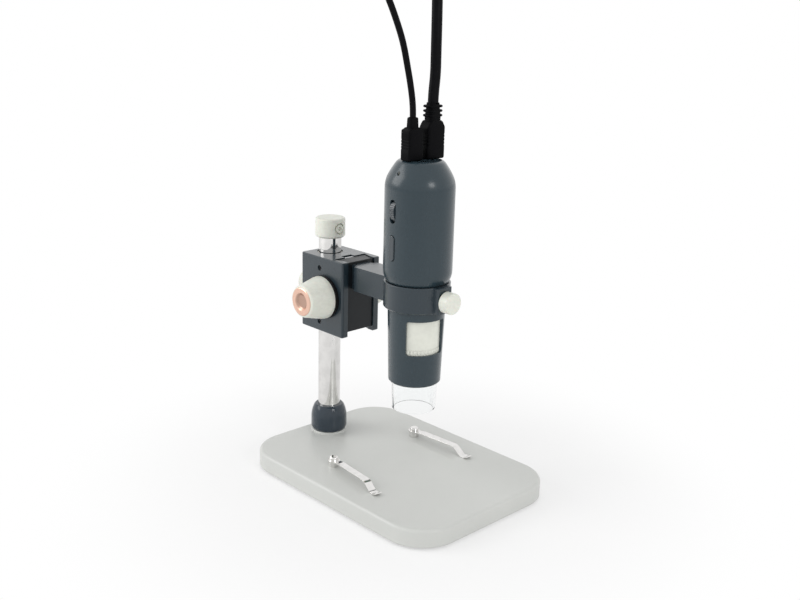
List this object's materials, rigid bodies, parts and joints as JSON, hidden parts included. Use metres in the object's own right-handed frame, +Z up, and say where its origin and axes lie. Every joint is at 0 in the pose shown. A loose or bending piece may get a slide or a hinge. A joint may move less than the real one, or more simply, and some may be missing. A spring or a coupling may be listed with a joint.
{
  "type": "digital microscope",
  "caption": "Hand-held digital microscope clamped in the ring arm of a rack-and-pinion focusing stand with a flat base and stage clips.",
  "frame": {"origin": "centre of the base's footprint, at the level of the feet's undersides", "axes": "+Z up, along the pillar; +Y towards the pillar; -Y towards the user"},
  "size_m": [0.114, 0.1655, 0.3354],
  "materials": {
    "base_coating": "fine powder coat, satin",
    "ballast_steel": "black oxide",
    "rubber": "matt",
    "screw_steel": "machined",
    "chrome": "polished",
    "collar_slate": "gloss",
    "cream_plastic": "satin",
    "nylon": "natural",
    "anodised_block": "anodised, satin",
    "slide_black": "black anodised",
    "brass": "machined",
    "steel": "turned",
    "black_disc": "satin",
    "copper": "satin, spun",
    "body_plastic": "satin",
    "control_plastic": "gloss",
    "status_lens": "frosted",
    "black_metal": "black anodised",
    "lens_glass": "coated",
    "clear_plastic": "clear, moulded",
    "circuit_board": "solder mask",
    "led_white": "diffused",
    "chip_black": "moulded",
    "plug_black": "moulded, fine texture",
    "cord_black": "matt PVC"
  },
  "bodies": {
    "stand": {"base_plate": "base_coating", "base_cover": "ballast_steel", "rubber_feet": "rubber", "cover_screws": "screw_steel", "pillar": "chrome", "pillar_bolt": "screw_steel", "pillar_collar": "collar_slate", "collar_grub_screw": "screw_steel", "pillar_cap": "cream_plastic", "cap_screw": "cream_plastic", "clip_posts": "chrome"},
    "left_clip": {"clip_spring_left": "chrome"},
    "right_clip": {"clip_spring_right": "chrome"},
    "sleeve": {"pillar_sleeve": "nylon"},
    "block": {"focus_block": "anodised_block", "side_grub_screws": "screw_steel", "pinion_bushes": "brass"},
    "block_clamp": {"block_clamp_stud": "steel"},
    "block_clamp_grip": {"block_clamp_knob": "cream_plastic"},
    "pinion": {"pinion_shaft": "steel", "friction_discs": "black_disc", "focus_knob_left": "cream_plastic", "focus_knob_right": "cream_plastic", "knob_caps": "copper"},
    "carriage": {"slide_carriage": "slide_black", "focus_rack": "steel", "ring_arm": "anodised_block", "arm_screws": "screw_steel"},
    "ring_clamp": {"ring_clamp_stud": "steel"},
    "ring_clamp_grip": {"ring_clamp_knob": "cream_plastic"},
    "liner": {"ring_liner": "nylon"},
    "scope": {"main_shell": "body_plastic", "lower_tube": "body_plastic", "status_light": "status_lens", "ring_retainer": "black_metal", "sensor_board": "circuit_board", "image_sensor": "chip_black", "main_board": "circuit_board", "board_chips": "chip_black", "socket_board": "circuit_board", "hdmi_socket": "steel", "usb_socket": "steel", "dimmer_pot": "chip_black", "button_board": "circuit_board", "led_board": "circuit_board", "leds": "led_white", "clear_tip": "clear_plastic", "hdmi_plug": "plug_black", "usb_plug": "plug_black", "hdmi_cable": "cord_black", "usb_cable": "cord_black", "hdmi_far_plug": "plug_black", "usb_far_plug": "plug_black"},
    "focus_grip": {"focus_ring": "cream_plastic"},
    "lens": {"lens_cell": "black_metal", "front_lens": "lens_glass", "rear_lens": "lens_glass", "lens_retainer": "black_metal"},
    "wheel": {"dimmer_wheel": "control_plastic"},
    "button": {"snap_button": "control_plastic"}
  },
  "joints": [
    {"name": "left_clip_swing", "type": "hinge", "parent": "stand", "child": "left_clip", "pos_m": [-0.034, 0.0194, 0], "axis": [0, 0, 1], "range_deg": [-90, 35]},
    {"name": "right_clip_swing", "type": "hinge", "parent": "stand", "child": "right_clip", "pos_m": [0.034, 0.0194, 0], "axis": [0, 0, -1], "range_deg": [-90, 35]},
    {"name": "height_slide", "type": "slide", "parent": "stand", "child": "sleeve", "axis": [0, 0, 1], "range_m": [-0.027, 0.009]},
    {"name": "block_swivel", "type": "hinge", "parent": "sleeve", "child": "block", "pos_m": [0, 0.0645, 0], "axis": [0, 0, 1], "continuous": true},
    {"name": "block_clamp_travel", "type": "slide", "parent": "block", "child": "block_clamp", "axis": [0, 1, 0], "range_m": [0, 0.0016]},
    {"name": "block_clamp_turn", "type": "hinge", "parent": "block_clamp", "child": "block_clamp_grip", "pos_m": [0, 0.08, 0.108], "axis": [0, 1, 0], "range_deg": [0, 720]},
    {"name": "focus_knob_turn", "type": "hinge", "parent": "block", "child": "pinion", "pos_m": [0, 0.0515, 0.1075], "axis": [1, 0, 0], "range_deg": [-196.5, 196.5]},
    {"name": "focus_slide", "type": "slide", "parent": "block", "child": "carriage", "axis": [0, 0, 1], "range_m": [-0.012, 0.012]},
    {"name": "ring_clamp_travel", "type": "slide", "parent": "carriage", "child": "ring_clamp", "axis": [0, -1, 0], "range_m": [0, 0.0014]},
    {"name": "ring_clamp_turn", "type": "hinge", "parent": "ring_clamp", "child": "ring_clamp_grip", "pos_m": [0, -0.04, 0.1215], "axis": [0, -1, 0], "range_deg": [0, 720]},
    {"name": "scope_turn", "type": "hinge", "parent": "carriage", "child": "liner", "pos_m": [0, -0.013, 0.12], "axis": [0, 0, 1], "continuous": true},
    {"name": "scope_lift", "type": "slide", "parent": "liner", "child": "scope", "axis": [0, 0, 1], "range_m": [0, 0.06]},
    {"name": "focus_ring_turn", "type": "hinge", "parent": "scope", "child": "focus_grip", "pos_m": [0, -0.013, 0.098], "axis": [0, 0, 1], "range_deg": [-150, 150]},
    {"name": "lens_slide", "type": "slide", "parent": "scope", "child": "lens", "axis": [0, 0, 1], "range_m": [-0.004, 0.004]},
    {"name": "dimmer_turn", "type": "hinge", "parent": "scope", "child": "wheel", "pos_m": [-0.01333, -0.0123, 0.1713], "axis": [-0.0523, -0.9986, 0], "range_deg": [-135, 135]},
    {"name": "snap_press", "type": "slide", "parent": "scope", "child": "button", "axis": [0.9986, -0.0523, 0], "range_m": [0, 0.0004], "stiffness_N_per_m": 3750, "springref_m": -0.0004}
  ],
  "couplings": [
    {"joint": "focus_knob_turn", "follows": "focus_slide", "rad_per_m": -285.71},
    {"joint": "focus_ring_turn", "follows": "lens_slide", "rad_per_m": 654.49},
    {"joint": "block_clamp_turn", "follows": "block_clamp_travel", "rad_per_m": 7854},
    {"joint": "ring_clamp_turn", "follows": "ring_clamp_travel", "rad_per_m": 8976}
  ]
}
